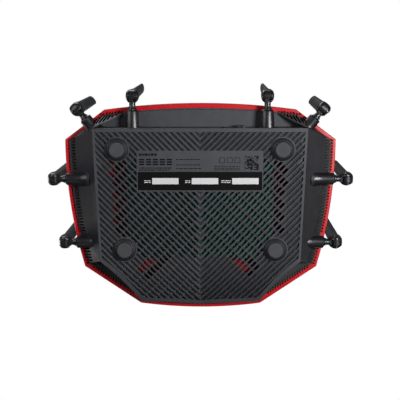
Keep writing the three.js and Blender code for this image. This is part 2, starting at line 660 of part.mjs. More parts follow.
add('power_switch', boardSwitch(POWER_BUTTON_X, 7, powerBack), plastic(0x17171a, 0.5));
add('reset_switch', boardSwitch(RESET_BUTTON_X, 5, resetBack), plastic(0x17171a, 0.5));

for (const [sideName, side] of Object.entries(SIDES)) {
  for (const [end, foot] of Object.entries(FEET)) {
    const position = [side * foot.x, foot.y, 0];
    add(`foot_pad_${end}_${sideName}`, footPad(), plastic(0x3c3c40, 0.9), position);
    add(`case_screw_${end}_${sideName}`, caseScrew(), metal(0x8a8d92, 0.35), position);
  }
  for (const [place, antenna] of Object.entries(ANTENNAS)) {
    const position = [side * antenna.x, antenna.y, ANTENNA_Z];
    const turn = side > 0 ? antenna.turn : 180 - antenna.turn;
    add(`stem_${place}_${sideName}`, stem(antenna), plastic(0x232328, 0.4), position, turn);
    add(`hinge_pin_${place}_${sideName}`, hingePin(antenna), metal(0x7d8084, 0.3), position, turn);
    add(`blade_${place}_${sideName}`, blade(antenna), plastic(0x232328, 0.4), position, turn);
    add(`aerial_lead_${place}_${sideName}`, aerialLead(antenna, side), plastic(0x16161a, 0.5));
  }
}

export default router;
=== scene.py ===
"""The looks of a wireless router with eight folding antennas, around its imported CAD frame.

Shapes are made in millimetres and brought to metres as each piece is finished. -Y is the front,
+Y the rear with the sockets, left is -X, and the router stands on z = 0.
"""

import math
import random

import bmesh
import bpy
from mathutils import Matrix, Vector


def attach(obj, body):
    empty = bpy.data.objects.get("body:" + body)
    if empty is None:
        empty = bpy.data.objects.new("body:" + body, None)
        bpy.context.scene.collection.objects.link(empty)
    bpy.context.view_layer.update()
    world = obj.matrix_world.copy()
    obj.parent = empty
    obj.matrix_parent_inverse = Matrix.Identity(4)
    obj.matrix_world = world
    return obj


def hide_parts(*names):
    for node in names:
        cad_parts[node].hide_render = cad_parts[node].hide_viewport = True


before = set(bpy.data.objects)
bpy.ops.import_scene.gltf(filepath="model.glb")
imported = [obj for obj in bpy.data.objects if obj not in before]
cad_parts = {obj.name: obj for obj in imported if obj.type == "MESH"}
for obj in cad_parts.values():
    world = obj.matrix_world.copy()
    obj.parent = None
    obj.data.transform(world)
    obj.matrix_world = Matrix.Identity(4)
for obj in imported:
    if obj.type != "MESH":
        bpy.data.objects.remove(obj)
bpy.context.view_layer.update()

MM = 0.001

# -------- dimensions
#
# As in the CAD, except SEAT_SCOOP, TONGUE_RADIUS, KNUCKLE_RADIUS and BLADE_TIP_DEPTH, which follow
# the photo.

GAP = 0.3
WALL = 2.2
HIGH = 80

REAR_Y = 97.4
REAR_CORNER = Vector((96.8, 90.8))
SIDE_REAR = Vector((136.9, 60.5))
SIDE_FRONT = Vector((118.5, -69.5))
FRONT_CORNER = Vector((61.1, -107.8))
FRONT_Y = -111.9
SIDE_BOW = 4.7

BASE_REAR = Vector((107.4, 73.7))
BASE_SIDE = Vector((101.1, -60.8))
BASE_FRONT = Vector((60.6, -103.8))
BASE_FRONT_Y = -106.8
BASE_Z = 6
NOSE_RISE = 11
SCOOP_DEPTH = 2.5

SEAM_Z = 25.8
SEAM_SLOPE = 0.02
SEAT_REAR = 4.8
SEAT_CORNER = 3.4
SEAT_SIDE = 4.6
SEAT_FRONT = 3.5
SEAT_SCOOP = 5.0

FRAME_WALL = 7
DECK = 2

BAY_TOP = 25.5
BAY_INNER = Vector((78, 86.6))
WINDOW_HALF = 59
WINDOW_LOW = 9.5
WINDOW_HIGH = 25.3

FEET = {"rear": Vector((82.6, 52.7)), "front": Vector((75.7, -48.5))}
COLLAR_RADIUS = 11.5
COLLAR_TIP_RADIUS = 8.6
COLLAR_LOW = 1.2
PAD_RADIUS = 7.65
PAD_HEIGHT = 2.6

LABEL = {"half": 61.8, "rear": 29.9, "front": 11.9}
LABEL_SEAT = 0.8
PRINT_REAR = 50.5  # the smooth field for print runs from the label to here

ANTENNA_Z = 18.2
SHAFT_RADIUS = 3.5
SLEEVE_RADIUS = 6.25
SHOULDER_RADIUS = 4.4
NECK_RADIUS = 3.15
TONGUE_RADIUS = 6.55
TONGUE_HALF = 3
KNUCKLE_RADIUS = 6.8
KNUCKLE_HALF = 6.5
PIN_RADIUS = 1.5
BLADE_LENGTH = 150
BLADE_TIP_DEPTH = 11.2
BLADE_TIP_THICK = 5.4

ANTENNAS = {
    "rear": {"at": (67.6, 91.5), "turn": 90, "sleeve": 24, "reach": 13.4},
    "corner": {"at": (115.6, 83.2), "turn": 49, "sleeve": 20, "reach": 11.6},
    "side_rear": {"at": (135.4, 21.6), "turn": 0, "sleeve": 24, "reach": 11.8},
    "side_front": {"at": (125.7, -42.8), "turn": 0, "sleeve": 24, "reach": 11.4},
}
SIDES = {"left": -1, "right": 1}

# -------- mesh tools

UPRIGHT = Matrix.Rotation(-math.pi / 2, 4, "Y")  # turns a lathe's +X axis up
ACROSS = Matrix.Rotation(math.pi / 2, 4, "Z")  # turns a lathe's +X axis to +Y


def as_object(bm):
    bmesh.ops.recalc_face_normals(bm, faces=bm.faces)
    if bm.calc_volume(signed=True) < 0:
        bmesh.ops.reverse_faces(bm, faces=bm.faces)
    mesh = bpy.data.meshes.new("tool")
    bm.to_mesh(mesh)
    bm.free()
    obj = bpy.data.objects.new("tool", mesh)
    bpy.context.scene.collection.objects.link(obj)
    return obj


def level(height, y):
    return height(y) if callable(height) else height


def prism(bm, outline, low, high):
    """An upright body over a plan outline; low and high are heights or functions of y."""
    bottom = [bm.verts.new((p[0], p[1], level(low, p[1]))) for p in outline]
    top = [bm.verts.new((p[0], p[1], level(high, p[1]))) for p in outline]
    bm.faces.new(bottom[::-1])
    bm.faces.new(top)
    for i in range(len(outline)):
        bm.faces.new((bottom[i - 1], bottom[i], top[i], top[i - 1]))


def block(bm, low, high):
    (x, y, z), (x2, y2, z2) = low, high
    prism(bm, [(x, y), (x2, y), (x2, y2), (x, y2)], z, z2)


def lathe(bm, profile, place=Matrix(), sides=64):
    """A closed turned body along +X; profile is pairs of distance along the axis and radius."""
    rings = []
    for along, radius in profile:
        ring = []
        for i in range(sides):
            angle = 2 * math.pi * i / sides
            point = (along, radius * math.cos(angle), radius * math.sin(angle))
            ring.append(bm.verts.new(place @ Vector(point)))
        rings.append(ring)
    for ring, after in zip(rings, rings[1:]):
        for i in range(sides):
            bm.faces.new((ring[i - 1], ring[i], after[i], after[i - 1]))
    bm.faces.new(rings[0])
    bm.faces.new(rings[-1])


def upright(x, y):
    return Matrix.Translation((x, y, 0)) @ UPRIGHT


def hull(bm, points):
    made = [bm.verts.new(p) for p in points]
    result = bmesh.ops.convex_hull(bm, input=made, use_existing_faces=False)
    unused = set(result["geom_interior"]) | set(result["geom_unused"])
    bmesh.ops.delete(bm, geom=[v for v in unused if isinstance(v, bmesh.types.BMVert)], context="VERTS")


def new_body(make, *args, **kwargs):
    bm = bmesh.new()
    make(bm, *args, **kwargs)
    return as_object(bm)


def bake_modifiers(obj):
    bpy.context.view_layer.update()
    evaluated = obj.evaluated_get(bpy.context.evaluated_depsgraph_get())
    mesh = bpy.data.meshes.new_from_object(evaluated)
    obj.modifiers.clear()
    old = obj.data
    obj.data = mesh
    bpy.data.meshes.remove(old)


def boolean(target, operation, tool, keep_tool=False):
    modifier = target.modifiers.new("boolean", "BOOLEAN")
    modifier.operation = operation
    modifier.solver = "MANIFOLD"
    modifier.object = tool
    bake_modifiers(target)
    if not keep_tool:
        remove(tool)
    return target


def cut(target, tool):
    return boolean(target, "DIFFERENCE", tool)


def join(target, tool):
    return boolean(target, "UNION", tool)


def remove(obj):
    mesh = obj.data
    bpy.data.objects.remove(obj)
    bpy.data.meshes.remove(mesh)


def tidy(obj, weld=0.002):
    """Welds what a cut left too close together and drops faces without area."""
    bm = bmesh.new()
    bm.from_mesh(obj.data)
    bmesh.ops.remove_doubles(bm, verts=bm.verts, dist=weld)
    bmesh.ops.dissolve_degenerate(bm, dist=weld, edges=bm.edges)
    bm.to_mesh(obj.data)
    bm.free()


def soften(obj, angle=30):
    """Smooth shading, with creases where faces meet at more than the angle."""
    obj.data.shade_smooth()
    obj.data.set_sharp_from_angle(angle=math.radians(angle))


def bevel(obj, width):
    modifier = obj.modifiers.new("bevel", "BEVEL")
    modifier.width = width
    modifier.segments = 2
    modifier.limit_method = "ANGLE"
    modifier.angle_limit = math.radians(30)


def finished(obj, name, material, body, replaced=(), angle=30, choose=None):
    """Brings a piece made in millimetres to its place in the model.

    With choose, material is a list, and choose(face) gives a face's place in it.
    """
    obj.name = name
    obj.data.name = name
    obj.data.materials.clear()
    for entry in material if choose else [material]:
        obj.data.materials.append(entry)
    for face in obj.data.polygons:
        face.material_index = choose(obj.data, face) if choose else 0
    obj.data.transform(Matrix.Scale(MM, 4))
    soften(obj, angle)
    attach(obj, body)
    if replaced:
        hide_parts(*replaced)
    return obj


# -------- outlines


def seam(y):
    return SEAM_Z + SEAM_SLOPE * y


def plate_z(y):
    """Height of the flat underside, which curves up towards the front."""
    part = (BASE_SIDE.y - y) / (BASE_SIDE.y - BASE_FRONT.y)
    return BASE_Z + NOSE_RISE * max(0, part) ** 2


def mirrored(half):
    """The whole outline, anticlockwise, from its right half, listed from rear to front."""
    return list(reversed(half)) + [Vector((-p.x, p.y)) for p in half if p.x > 0]


def bowed(start, end, bulge, steps):
    along = (end - start).normalized()
    control = (start + end) / 2 + Vector((-along.y, along.x)) * 2 * bulge
    points = []
    for i in range(steps + 1):
        t = i / steps
        points.append(start * (1 - t) ** 2 + control * 2 * t * (1 - t) + end * t**2)
    return points


def frame_outline():
    left = Vector((-REAR_CORNER.x, REAR_CORNER.y))
    rear = bowed(left, REAR_CORNER, REAR_Y - REAR_CORNER.y, 24)
    side = bowed(SIDE_REAR, SIDE_FRONT, SIDE_BOW, 24)
    front_left = Vector((-FRONT_CORNER.x, FRONT_CORNER.y))
    front = bowed(FRONT_CORNER, front_left, FRONT_CORNER.y - FRONT_Y, 16)
    return mirrored([Vector((0, REAR_Y)), *rear[13:], *side, *front[:8], Vector((0, FRONT_Y))])


def outward(points):
    """The outward normal of each edge of an anticlockwise outline."""
    edges = [(points[(i + 1) % len(points)] - p).normalized() for i, p in enumerate(points)]
    return [Vector((e.y, -e.x)) for e in edges]


STRAIGHT = 0.002  # edges that turn less than this are taken as one line


def inset(points, distance):
    """The outline moved inward, each edge by a distance that may depend on its normal."""
    normals = outward(points)
    offsets = [n.dot(p) - level(distance, n) for n, p in zip(normals, points)]
    moved = []
    for i in range(len(points)):
        a, b = normals[i - 1], normals[i]
        cross = a.x * b.y - a.y * b.x
        if abs(cross) < STRAIGHT:
            moved.append(points[i] - b * level(distance, b))
            continue
        x = (offsets[i - 1] * b.y - offsets[i] * a.y) / cross
        y = (offsets[i] * a.x - offsets[i - 1] * b.x) / cross
        moved.append(Vector((x, y)))
    return moved


def seat_distance(normal):
    """How far inside the frame's edge the lower cover's rim sits, by the edge's direction."""
    if normal.y > 0.9:
        return SEAT_REAR
    if normal.y > 0.5:
        return SEAT_CORNER
    if normal.y < -0.5:
        return SEAT_SCOOP if abs(normal.x) > 0.3 else SEAT_FRONT
    return SEAT_SIDE


FRAME = frame_outline()
SEAT = inset(FRAME, seat_distance)


def at(outline, height):
    return [(p.x, p.y, level(height, p.y)) for p in outline]


def placement(place, side):
    """Matrix from an antenna's own frame, stem along +X, to its place on the router."""
    antenna = ANTENNAS[place]
    turn = antenna["turn"] if side > 0 else 180 - antenna["turn"]
    x, y = antenna["at"]
    return Matrix.Translation((side * x, y, ANTENNA_Z)) @ Matrix.Rotation(math.radians(turn), 4, "Z")


# -------- materials


def linear(*srgb):
    """A colour given as 0 to 255 sRGB, as the linear one that shaders take."""
    values = [c / 255 for c in srgb]
    return (*[c / 12.92 if c <= 0.04045 else ((c + 0.055) / 1.055) ** 2.4 for c in values], 1)


class Nodes:
    """Short calls for building one material's node tree."""

    def __init__(self, name):
        self.material = bpy.data.materials.new(name)
        self.material.use_nodes = True
        self.tree = self.material.node_tree
        self.shader = self.tree.nodes["Principled BSDF"]
        self.place = self.add("ShaderNodeTexCoord").outputs["Object"]

    def add(self, kind, **settings):
        node = self.tree.nodes.new(kind)
        for key, value in settings.items():
            setattr(node, key, value)
        return node

    def link(self, output, target):
        self.tree.links.new(output, target)

    def set(self, **values):
        for key, value in values.items():
            self.shader.inputs[key.replace("_", " ")].default_value = value

    def noise(self, scale, detail=2, roughness=0.5):
        """Noise whose scale is features per metre."""
        node = self.add("ShaderNodeTexNoise")
        node.inputs["Scale"].default_value = scale
        node.inputs["Detail"].default_value = detail
        node.inputs["Roughness"].default_value = roughness
        self.link(self.place, node.inputs["Vector"])
        return node.outputs["Fac"]

    def spread(self, value, low, high, start=0.3, end=0.7):
        node = self.add("ShaderNodeMapRange")
        self.link(value, node.inputs["Value"])
        for key, number in (("From Min", start), ("From Max", end), ("To Min", low), ("To Max", high)):
            node.inputs[key].default_value = number
        return node.outputs["Result"]

    def mix(self, factor, first, second):
        node = self.add("ShaderNodeMix", data_type="RGBA")
        self.link(factor, node.inputs["Factor"])
        for colour, target in ((first, node.inputs["A"]), (second, node.inputs["B"])):
            if isinstance(colour, tuple):
                target.default_value = colour
            else:
                self.link(colour, target)
        return node.outputs["Result"]

    def bump(self, height, distance, under=None):
        node = self.add("ShaderNodeBump")
        node.inputs["Distance"].default_value = distance
        self.link(height, node.inputs["Height"])
        if under is not None:
            self.link(under, node.inputs["Normal"])
        return node.outputs["Normal"]

    def rounded(self, radius):
        node = self.add("ShaderNodeBevel", samples=4)
        node.inputs["Radius"].default_value = radius
        return node.outputs["Normal"]


def moulded(name, colour, roughness, grain=2600, depth=0.00003, round_edges=0.0004, mottle=0.12, **values):
    """Moulded plastic: fine spark-eroded grain, faint mottling, uneven gloss, rounded edges."""
    n = Nodes(name)
    base = linear(*colour)
    dark = (*[c * (1 - mottle) for c in base[:3]], 1)
    light = (*[c * (1 + mottle) for c in base[:3]], 1)
    n.link(n.mix(n.spread(n.noise(55, 3), 0, 1), dark, light), n.shader.inputs["Base Color"])
    wear = n.spread(n.noise(140, 4, 0.6), roughness * 0.88, roughness * 1.12)
    n.link(wear, n.shader.inputs["Roughness"])
    under = n.rounded(round_edges) if round_edges else None
    n.link(n.bump(n.noise(grain, 2), depth, under), n.shader.inputs["Normal"])
    n.set(**values)
    return n.material


def painted(name, colour, roughness):
    """Lacquered plastic: fine flakes under a soft clear coat with a trace of orange peel."""
    n = Nodes(name)
    base = linear(*colour)
    dark = (*[c * 0.8 for c in base[:3]], 1)
    n.link(n.mix(n.spread(n.noise(4200, 1), 0, 1), dark, base), n.shader.inputs["Base Color"])
    n.link(n.spread(n.noise(90, 3), roughness * 0.9, roughness * 1.15), n.shader.inputs["Roughness"])
    n.link(n.bump(n.noise(900, 2), 0.000012, n.rounded(0.0004)), n.shader.inputs["Normal"])
    n.set(Coat_Weight=0.06, Coat_Roughness=0.3, Specular_IOR_Level=0.32)
    return n.material


def metal(name, colour, roughness):
    n = Nodes(name)
    grain = 1800
    base = linear(*colour)
    dark = (*[c * 0.75 for c in base[:3]], 1)
    n.link(n.mix(n.spread(n.noise(300, 4), 0, 1), dark, base), n.shader.inputs["Base Color"])
    n.link(n.spread(n.noise(grain, 3), roughness * 0.7, roughness * 1.3), n.shader.inputs["Roughness"])
    n.link(n.bump(n.noise(grain, 2), 0.00001, n.rounded(0.0002)), n.shader.inputs["Normal"])
    n.set(Metallic=1.0)
    return n.material


def circuit(name):
    """Green solder mask with copper tracks showing faintly under it."""
    n = Nodes(name)
    brick = n.add("ShaderNodeTexBrick", offset=0.37, squash=0.7)
    n.link(n.place, brick.inputs["Vector"])
    for key, number in (("Scale", 260), ("Mortar Size", 0.03), ("Brick Width", 0.9), ("Row Height", 0.22)):
        brick.inputs[key].default_value = number
    cells = n.add("ShaderNodeTexVoronoi", feature="F1")
    cells.inputs["Scale"].default_value = 420
    n.link(n.place, cells.inputs["Vector"])
    spots = n.spread(cells.outputs["Distance"], 1, 0, 0.10, 0.16)
    mask = n.mix(n.spread(n.noise(60, 3), 0, 1), linear(0, 66, 50), linear(0, 92, 68))
    tracks = n.mix(n.spread(brick.outputs["Fac"], 0, 0.5, 0.2, 0.8), mask, linear(18, 92, 74))
    n.link(n.mix(spots, tracks, linear(150, 160, 150)), n.shader.inputs["Base Color"])
    n.link(n.bump(brick.outputs["Fac"], 0.00004), n.shader.inputs["Normal"])
    n.set(Roughness=0.45, Coat_Weight=0.1, Coat_Roughness=0.2)
    return n.material


COVER = moulded("cover_plastic", (51, 52, 57), 0.5)
# Painted shade: a darker copy of the cover plastic, put on the flanks, the collars and the groove and pocket
# floors on the left.
SHADED_COVER = moulded("cover_painted_shade", (28, 28, 31), 0.58, Specular_IOR_Level=0.3)
# Painted shade: a near-black copy of the cover plastic, put on the port bay's walls, next to the rim, in the
# rear corners and inside the other grooves and slots.
SHADE = moulded("painted_shade_plastic", (17, 17, 19), 0.6)
SLEEVE = moulded("sleeve_plastic", (17, 17, 21), 0.36, grain=3400, depth=0.000012, round_edges=0.0003)
TOP = moulded("top_plastic", (26, 26, 29), 0.5)
RED = painted("frame_lacquer", (178, 0, 14), 0.45)
ANTENNA = moulded("antenna_plastic", (17, 18, 22), 0.36, grain=3400, depth=0.000012, round_edges=0.0003)
RUBBER = moulded("foot_rubber", (52, 53, 56), 0.82, grain=1900, depth=0.00006, mottle=0.08)
FILM = moulded("label_film", (2, 2, 3), 0.6, depth=0.000008, round_edges=0.0001, Specular_IOR_Level=0.12)
INK = moulded("print_ink", (5, 5, 7), 0.6, depth=0.000008, round_edges=0, mottle=0.05, Specular_IOR_Level=0.1)
WHITE_INK = moulded("label_white", (186, 185, 186), 0.5, depth=0.000008, round_edges=0, mottle=0.03)
GLOSS = moulded(
    "gloss_black", (9, 9, 11), 0.16, grain=500, depth=0.000004, Coat_Weight=1.0, Coat_Roughness=0.05
)
DIFFUSER = moulded("light_diffuser", (214, 218, 221), 0.3, depth=0.000006, Transmission_Weight=0.15)
PORT = moulded("port_plastic", (22, 22, 24), 0.42)
BLUE = moulded("socket_blue", (34, 82, 166), 0.36)
YELLOW = moulded("socket_yellow", (214, 150, 26), 0.36)
SOCKET = moulded("socket_black", (18, 18, 20), 0.4)
BUTTON = moulded("button_black", (28, 28, 31), 0.36)
LEAD = moulded("lead_jacket", (16, 16, 19), 0.5, grain=5200)
BOARD = circuit("circuit_board")
TIN = metal("shield_tin", (186, 190, 194), 0.34)
ALUMINIUM = metal("sink_aluminium", (170, 174, 179), 0.4)
STEEL = metal("steel", (140, 143, 148), 0.32)

# -------- bottom cover

CLEAR = 12  # from a cut surface to the cutting body's far side
SKIN = 0.02  # overlap where it only just breaks a surface
FLANGE_LOW = 1.3  # underside of the rim flange below the seam
FLANGE_WIDTH = 12
FIELD_BORDER = {"rear": 3.8, "side": 2.3, "front": 4.0}

# Sleeves, as distance and radius: a root's from the inner end, a mouth's from the open end.
REAR_SLEEVE_ROOT = [(0, 7.6)]
REAR_SLEEVE_MOUTH = [(-1.7, 6.4), (-1.2, 6.2), (0, 5.0)]
SLEEVE_ROOT = [(0, 9.2), (3, 8.3), (6, 7.2), (9, 6.55), (12, SLEEVE_RADIUS)]
SLEEVE_MOUTH = [(-1.5, SLEEVE_RADIUS), (-1.1, 6.05), (0, 5.0)]

SCREW_HEAD_BORE = 3.2
SCREW_SEAT = 5.4
SCREW_SHANK_BORE = 1.8

GROOVE_PITCH = 6.32  # along Y between the chevron grooves
GROOVE_PHASE = 2.6
GROOVE_WIDTH = 2.2
GROOVE_MOUTH = 2.8  # across the chamfered top of a groove
GROOVE_CHAMFER = 0.45
GROOVE_DEPTH = 1.5
GROOVE_STEP = 5.5  # between the stations that a groove is lofted through

DASH_PITCH = 6.27  # along X
DASH_PHASE = 0.4  # of the dashes' lattice from the middle
DASH_REACH = 4.7  # along X
DASH_WIDTH = 2.8
DASH_COUNT = 18
DASH_NEAREST = 2.4  # to the middle
POCKET_DEPTH = 1.9
SLOT_TOP = 9.6
NOSE_SLOT_DEPTH = 3.6  # where the underside curves up

# The slots go through in a large vent, with front corners cut along y = 2|x| - bevel, and in a
# diamond-shaped patch in front of it on each side.
VENT = {"rear": 41, "front": -55.9, "side_front": -31.5, "bevel": 189.5}
VENT_HALF = 85.5
VENT_WIDE_HALF = 89.5  # rearward of VENT_STEP
VENT_STEP = 18
PATCH = {"rear": -57, "front": -76.5, "inner": -29, "outer": 0.5, "diagonal": -131.5}
LEFT_INSET = 1.5  # how much nearer the middle the through slots end on the left

# Thin lines along the ribs of the left half and, at y = c - |x|, across them.
FINE_WIDTH = 0.6
FINE_DEPTH = 0.35
FINE_START = 1.5  # from the middle to a line's first station
FINE_STEP = 2.5
FINE_STATIONS = 41
FINE_SHORTEST = 3  # fewest stations in a line
CROSS_PITCH = 12.6
CROSS_PHASE = -57.1  # the c of one cross line

COMB_PITCH = 3.0
COMB_WIDTH = 1.5
COMB_REAR = 60
COMB_COUNT = 43
COMB_REACH = 7.4
COMB_OUTSIDE = 0.8  # from the rim out to a slot's start
COMB_LOW = 10
SLEEVE_CLEARANCE = 8.2  # from a side sleeve's axis to the nearest slot
FRONT_COMB_START = 13  # from the front corner to the first slot, along the edge
FRONT_COMB_COUNT = 17
FRONT_COMB_LEAN = 0.35  # along the edge for each unit inward
FRONT_COMB_REACH = 3.6
CORNER_WAY = Vector((0.61, -0.79)).normalized()
CORNER_SLOTS = [Vector((77.4 + 3 * i, 90.9 - 0.3 * i)) for i in range(8)]  # outer ends, on the right
CORNER_WEB = 1.3  # between a corner slot and the bay's wall
CORNER_LONGEST = 14
CORNER_SHORTEST = 2
CORNER_LOW = 3
CORNER_Y = 88  # where the slots' top height is taken


def envelope(bm, thickness):
    """The convex envelope of the lower cover, moved inward by a wall thickness."""
    nose = [BASE_SIDE.lerp(BASE_FRONT, i / 14) for i in range(15)]
    base = inset(mirrored([BASE_REAR, *nose, Vector((0, BASE_FRONT_Y))]), thickness)
    low = [(p.x, p.y, plate_z(p.y) + thickness) for p in base]
    front = (0, BASE_FRONT_Y + thickness, BASE_Z + NOSE_RISE + 1 + thickness)
    above = 1 if thickness > 0 else 0
    high = at(inset(SEAT, thickness), lambda y: seam(y) + above)
    hull(bm, [*low, front, *high])


def port_bay(bm, thickness):
    y = BASE_REAR.y - thickness
    x = BAY_INNER.x + thickness
    half = [(BASE_REAR.x + thickness, y), (x, BAY_INNER.y), (x, REAR_Y + 10)]
    prism(bm, half + [(-px, py) for px, py in reversed(half)], -1, BAY_TOP + thickness)


def scoop(bm, side, thickness):
    start = BASE_SIDE + Vector((-0.4 * thickness, thickness))
    end = BASE_FRONT + Vector((-1.4 * thickness, 0))
    arc = bowed(start, end, -SCOOP_DEPTH, 24)
    outside = [
        Vector((BASE_FRONT.x - 1.4 * thickness, FRONT_Y - 5)),
        Vector((SIDE_REAR.x, FRONT_Y - 5)),
        Vector((SIDE_REAR.x, BASE_SIDE.y - 14.2 + thickness)),
    ]
    prism(bm, [(side * p.x, p.y) for p in [*arc, *outside]], -1, HIGH)


def carved(thickness):
    body = new_body(envelope, thickness)
    cut(body, new_body(port_bay, thickness))
    for side in SIDES.values():
        cut(body, new_body(scoop, side, thickness))
    return body


def every_antenna(bm, make):
    for side in SIDES.values():
        for place, antenna in ANTENNAS.items():
            make(bm, place, antenna, placement(place, side))


def sleeve_profile(place, length):
    rear = place == "rear"
    root = REAR_SLEEVE_ROOT if rear else SLEEVE_ROOT
    mouth = REAR_SLEEVE_MOUTH if rear else SLEEVE_MOUTH
    return [(along - length, radius) for along, radius in root] + mouth


def sleeve(bm, place, antenna, matrix):
    """The moulded sleeve of an antenna, flared where it leaves the cover, chamfered at its end."""
    lathe(bm, sleeve_profile(place, antenna["sleeve"]), matrix)


def bore(bm, place, antenna, matrix):
    radius = SHAFT_RADIUS + GAP
    lathe(bm, [(-antenna["sleeve"] - 1, radius), (1, radius)], matrix, 48)


def feet(bm, make):
    for side in SIDES.values():
        for foot in FEET.values():
            make(bm, side * foot.x, foot.y)


def collar(bm, x, y):
    profile = [
        (COLLAR_LOW, COLLAR_TIP_RADIUS - 0.3),
        (COLLAR_LOW + 0.2, COLLAR_TIP_RADIUS + 0.1),
        (3.9, COLLAR_RADIUS - 0.5),
        (4.3, COLLAR_RADIUS - 0.1),
        (4.9, COLLAR_RADIUS),
        (BASE_Z + 0.4, COLLAR_RADIUS),
    ]
    lathe(bm, profile, upright(x, y), 72)


def foot_bore(bm, x, y):
    """The pad's seat in a collar, with the screw's passage above it."""
    seat, wide = PAD_HEIGHT + GAP, PAD_RADIUS + GAP
    profile = [(0, wide), (seat, wide), (seat, SCREW_HEAD_BORE), (SCREW_SEAT, SCREW_HEAD_BORE)]
    lathe(bm, [*profile, (SCREW_SEAT, SCREW_SHANK_BORE), (10, SCREW_SHANK_BORE)], upright(x, y), 72)


def field(bm):
    """The part of the underside that carries grooves, as a tall prism."""
    nose = bowed(BASE_SIDE, BASE_FRONT, -SCOOP_DEPTH, 16)
    outline = mirrored([BASE_REAR, *nose, Vector((0, BASE_FRONT_Y))])

    def border(normal):
        if normal.y > 0.9:
            return FIELD_BORDER["rear"]
        return FIELD_BORDER["side"] if normal.y > -0.4 else FIELD_BORDER["front"]

    prism(bm, inset(outline, border), -10, 30)


def field_gaps(bm):
    """The smooth places inside the grooved field: round the feet, and label and print."""
    low, high, radius = -CLEAR, 32, COLLAR_RADIUS + 1.1
    feet(bm, lambda b, x, y: lathe(b, [(low, radius), (high, radius)], upright(x, y)))
    x = LABEL["half"] + 1.2
    block(bm, (-x, LABEL["front"] - 1.6, low), (x, PRINT_REAR + 1, high))


def groove_lines():
    """The offsets c of the chevrons y = |x| + c that cross the underside."""
    first = math.floor((BASE_FRONT.y - BASE_SIDE.x) / GROOVE_PITCH)
    last = math.ceil(BASE_REAR.y / GROOVE_PITCH)
    return [(i, i * GROOVE_PITCH + GROOVE_PHASE) for i in range(first, last + 1)]


def grooves(bm):
    """The chevron grooves, each a slot with a chamfered mouth."""
    inner, outer = GROOVE_WIDTH / math.sqrt(2), GROOVE_MOUTH / math.sqrt(2)
    side = [(outer, -CLEAR), (outer, -SKIN), (inner, GROOVE_CHAMFER), (inner, GROOVE_DEPTH)]
    profile = [(-outer, -CLEAR), *side, *[(-across, z) for across, z in reversed(side[1:])]]
    stations = [GROOVE_STEP * i for i in range(-20, 21)]
    for _, offset in groove_lines():
        rings = []
        for x in stations:
            middle = abs(x) + offset
            surface = plate_z(middle)
            rings.append([bm.verts.new((x, middle + across, surface + z)) for across, z in profile])
        for ring, after in zip(rings, rings[1:]):
            for i in range(len(profile)):
                bm.faces.new((ring[i], ring[i - 1], after[i - 1], after[i]))
        bm.faces.new(rings[0])
        bm.faces.new(rings[-1][::-1])


def open_slot(x, y):
    """True where the slots go right through the cover."""
    x = abs(x)
    half = VENT_WIDE_HALF if y > VENT_STEP else VENT_HALF
    front = max(VENT["front"], min(VENT["side_front"], 2 * x - VENT["bevel"]))
    if x < half and front < y < VENT["rear"]:
        return True
    in_patch = PATCH["inner"] < x + y < PATCH["outer"] and y - x > PATCH["diagonal"]
    return in_patch and PATCH["front"] < y < PATCH["rear"]


def fine_runs(at_x):
    """Stretches of a line on the left half, as lists of x, that stay clear of the through slots."""
    runs, run = [], []
    for i in range(FINE_STATIONS + 1):
        x = FINE_START + FINE_STEP * i
        y = at_x(x)
        if i < FINE_STATIONS and BASE_FRONT_Y < y < BASE_REAR.y and not open_slot(x, y):
            run.append(x)
        elif run:
            if len(run) >= FINE_SHORTEST:
                runs.append(run)
            run = []
    return runs


def fine_line(bm, at_x, stations):
    """A shallow thin groove on the left half, through a list of distances from the middle."""
    half = FINE_WIDTH / math.sqrt(2)
    profile = [(-half, -CLEAR), (half, -CLEAR), (half, FINE_DEPTH), (-half, FINE_DEPTH)]
    rings = []
    for x in stations:
        y = at_x(x)
        rings.append([bm.verts.new((-x, y + across, plate_z(y) + z)) for across, z in profile])
    for ring, after in zip(rings, rings[1:]):
        for i in range(4):
            bm.faces.new((ring[i - 1], ring[i], after[i], after[i - 1]))
    bm.faces.new(rings[0][::-1])
    bm.faces.new(rings[-1])


def rib_lines(bm):
    """A thin line along the middle of each rib of the left half."""
    for _, offset in groove_lines():
        at_x = lambda x, c=offset + GROOVE_PITCH / 2: x + c
        for stations in fine_runs(at_x):
            fine_line(bm, at_x, stations)


def cross_lines(bm):
    """Thin lines across the ribs of the left half."""
    for i in range(-8, 16):
        at_x = lambda x, c=CROSS_PHASE + i * CROSS_PITCH: c - x
        for stations in fine_runs(at_x):
            fine_line(bm, at_x, stations)


def dashes(bm):
    """The deep slots along the grooves, staggered from groove to groove."""
    along = Vector((1, 1)).normalized()
    across = Vector((-1, 1)).normalized()
    reach = along * (DASH_REACH / math.sqrt(2))
    half = across * (DASH_WIDTH / 2)
    for index, offset in groove_lines():
        shift = 0.5 * (index % 2)
        for k in range(DASH_COUNT):
            x = (k + shift) * DASH_PITCH + DASH_PHASE
            middle = Vector((x, x + offset))
            if not BASE_FRONT_Y < middle.y < BASE_REAR.y or x < DASH_NEAREST:
                continue
            rear, front = middle + reach, middle - reach
            outline = [front - half, rear - half, rear + half, front + half]
            for side in SIDES.values():
                through = open_slot(x if side > 0 else x + LEFT_INSET, middle.y)
                depth = NOSE_SLOT_DEPTH if through else POCKET_DEPTH
                top = lambda y: plate_z(y) + depth
                if through and middle.y >= BASE_SIDE.y:
                    top = SLOT_TOP
                prism(bm, [(side * p.x, p.y) for p in outline], -5, top)


def front_comb_places():
    """Rim point and inward direction of each comb slot in the scooped front corner on the right."""
    along = (SIDE_FRONT - FRONT_CORNER).normalized()
    square = Vector((-along.y, along.x))
    rim = FRONT_CORNER + square * SEAT_SCOOP
    inward = (square + along * FRONT_COMB_LEAN).normalized()
    return [(rim + along * (FRONT_COMB_START + COMB_PITCH * i), inward) for i in range(FRONT_COMB_COUNT)]


